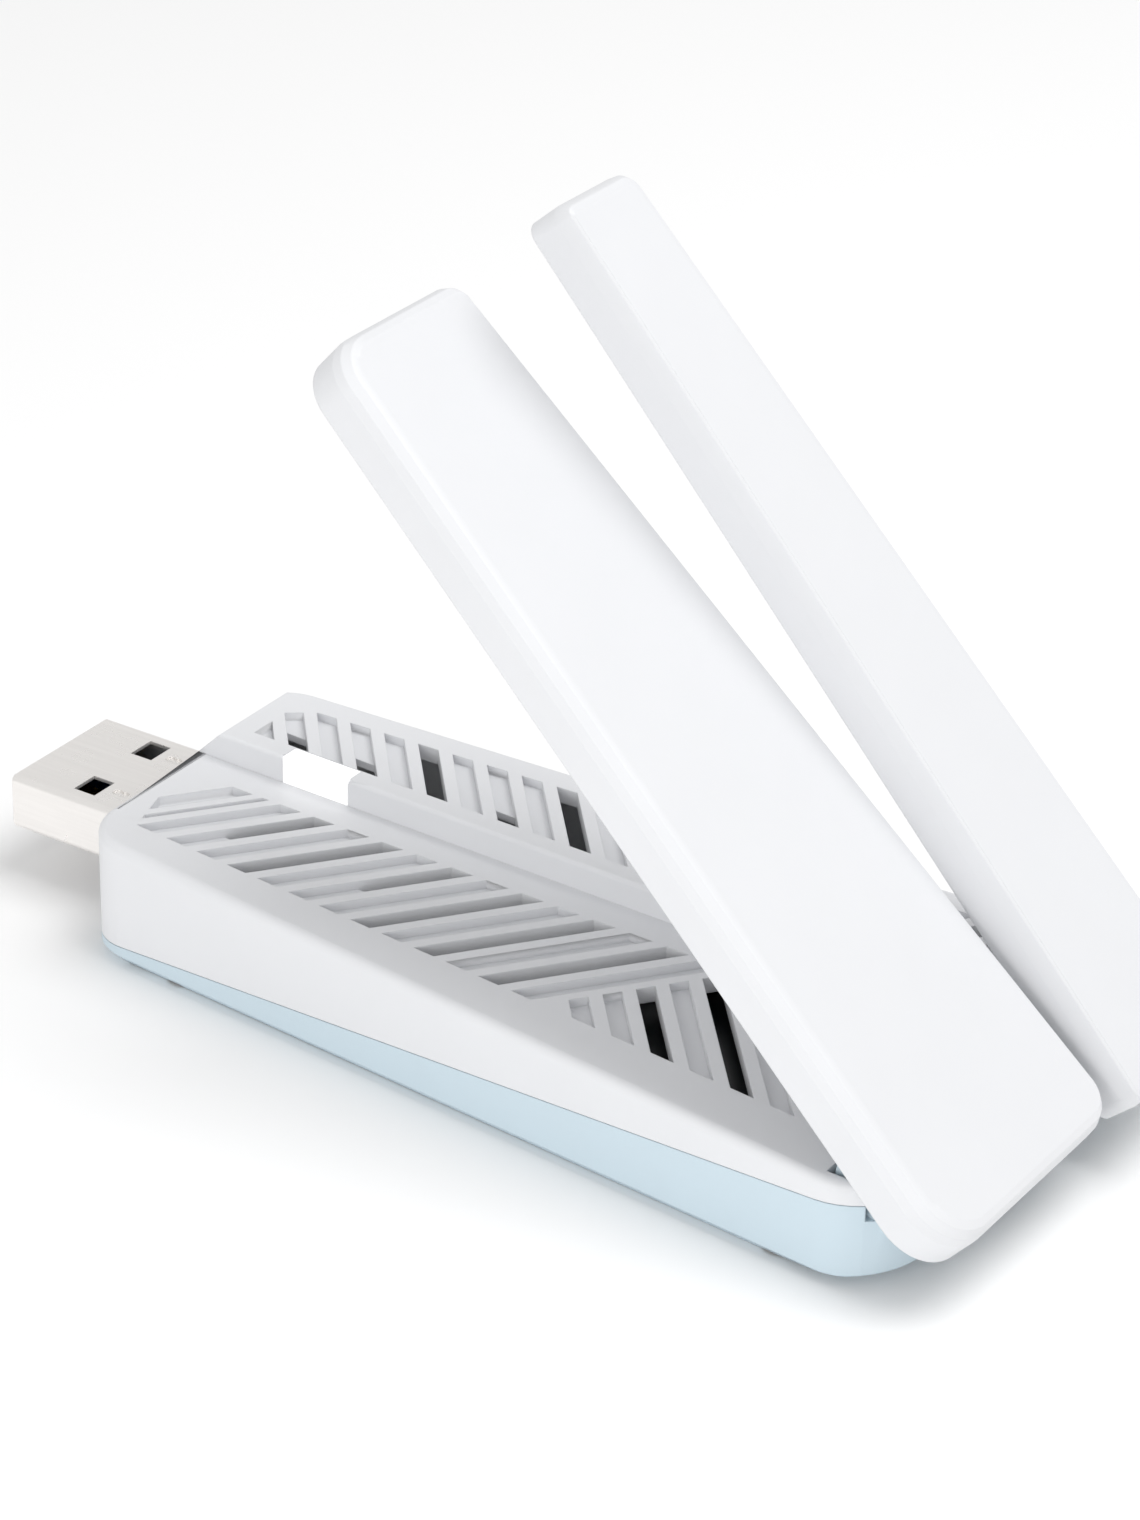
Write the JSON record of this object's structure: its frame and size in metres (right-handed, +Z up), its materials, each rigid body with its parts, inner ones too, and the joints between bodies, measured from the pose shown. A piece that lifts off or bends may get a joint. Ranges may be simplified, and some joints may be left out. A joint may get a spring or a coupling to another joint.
{
  "type": "usb wifi adapter",
  "caption": "White USB stick network adapter with a pale blue underside, a slotted two-level top and flat antennas that fold up from the far end.",
  "frame": {"origin": "middle of the case's flat underside", "axes": "+X from the plug to the hinges, +Y to the narrow antenna's side, +Z up from the underside"},
  "size_m": [0.092, 0.0374, 0.0626],
  "materials": {
    "white_shell": "fine satin moulded plastic",
    "blue_shell": "fine satin moulded plastic",
    "milky_lens": "translucent diffuser",
    "plug_steel": "nickel plated",
    "blue_insulator": "moulded",
    "gold_contact": "gold flash",
    "board": "solder mask",
    "black_chip": "moulded package",
    "tin_can": "tin plated",
    "capacitor": "ceramic body",
    "thermal_pad": "soft silicone pad",
    "aluminium": "extruded",
    "steel": "turned",
    "brass_bush": "turned",
    "coax_jacket": "thin jacket",
    "copper": "bare copper",
    "led": "clear package"
  },
  "bodies": {
    "case": {"upper_shell": "white_shell", "lower_shell": "blue_shell", "status_light_lens": "milky_lens", "status_led": "led", "shell_screws": "steel", "usb_plug_shell": "plug_steel", "usb_tongue": "blue_insulator", "usb_contacts": "gold_contact", "main_board": "board", "wifi_chip": "black_chip", "radio_amplifiers": "black_chip", "crystal": "tin_can", "shield_can": "tin_can", "power_inductor": "black_chip", "board_capacitors": "capacitor", "coax_sockets": "gold_contact", "thermal_pad": "thermal_pad", "heat_spreader": "aluminium", "near_body_coax": "coax_jacket", "far_body_coax": "coax_jacket", "near_hinge_pin": "steel", "far_hinge_pin": "steel", "near_cable_bush": "brass_bush", "far_cable_bush": "brass_bush", "hinge_washers": "tin_can"},
    "near_antenna": {"near_outer_cover": "white_shell", "near_inner_cover": "white_shell", "near_antenna_board": "board", "near_antenna_copper": "copper", "near_antenna_coax": "coax_jacket"},
    "far_antenna": {"far_outer_cover": "white_shell", "far_inner_cover": "white_shell", "far_antenna_board": "board", "far_antenna_copper": "copper", "far_antenna_coax": "coax_jacket"}
  },
  "joints": [
    {"name": "near_antenna_hinge", "type": "hinge", "parent": "case", "child": "near_antenna", "pos_m": [0.034, 0, 0.00819], "axis": [0, 1, 0], "range_deg": [-39.72, 18.5]},
    {"name": "far_antenna_hinge", "type": "hinge", "parent": "case", "child": "far_antenna", "pos_m": [0.034, 0, 0.00819], "axis": [0, 1, 0], "range_deg": [-47.22, 11]}
  ]
}
